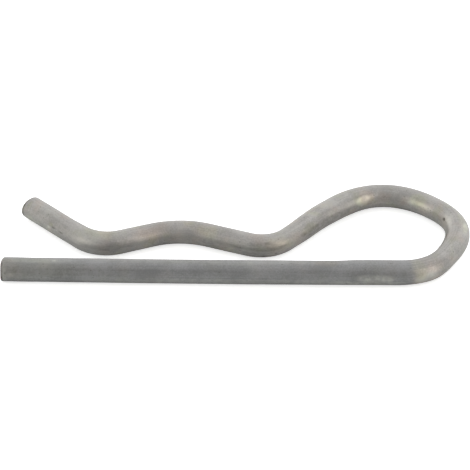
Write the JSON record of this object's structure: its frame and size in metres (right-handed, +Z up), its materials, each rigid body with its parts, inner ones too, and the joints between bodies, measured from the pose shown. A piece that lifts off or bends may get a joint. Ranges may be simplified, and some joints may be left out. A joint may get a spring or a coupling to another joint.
{
  "type": "hitch r clip pin",
  "caption": "One-piece R-shaped spring wire clip: a straight leg for a cross-drilled shaft, a round eye, and a waved leg with a pin seat and a flared tip.",
  "frame": {"origin": "on the axis of the straight leg, level with the middle of the pin seat, at the middle of the wire's thickness: the axis of the shaft that the clip holds crosses the leg's axis there", "axes": "+X along the straight leg towards the eye, +Y from the straight leg towards the waved leg, +Z up, normal to the plane that the clip is bent in: the clip lies flat, with its lowest line at z = -2 mm"},
  "size_m": [0.0785, 0.0274, 0.004],
  "materials": {
    "zinc_wire": "dull satin zinc plate, faintly mottled"
  },
  "bodies": {
    "root": {"clip": "zinc_wire"}
  },
  "joints": []
}
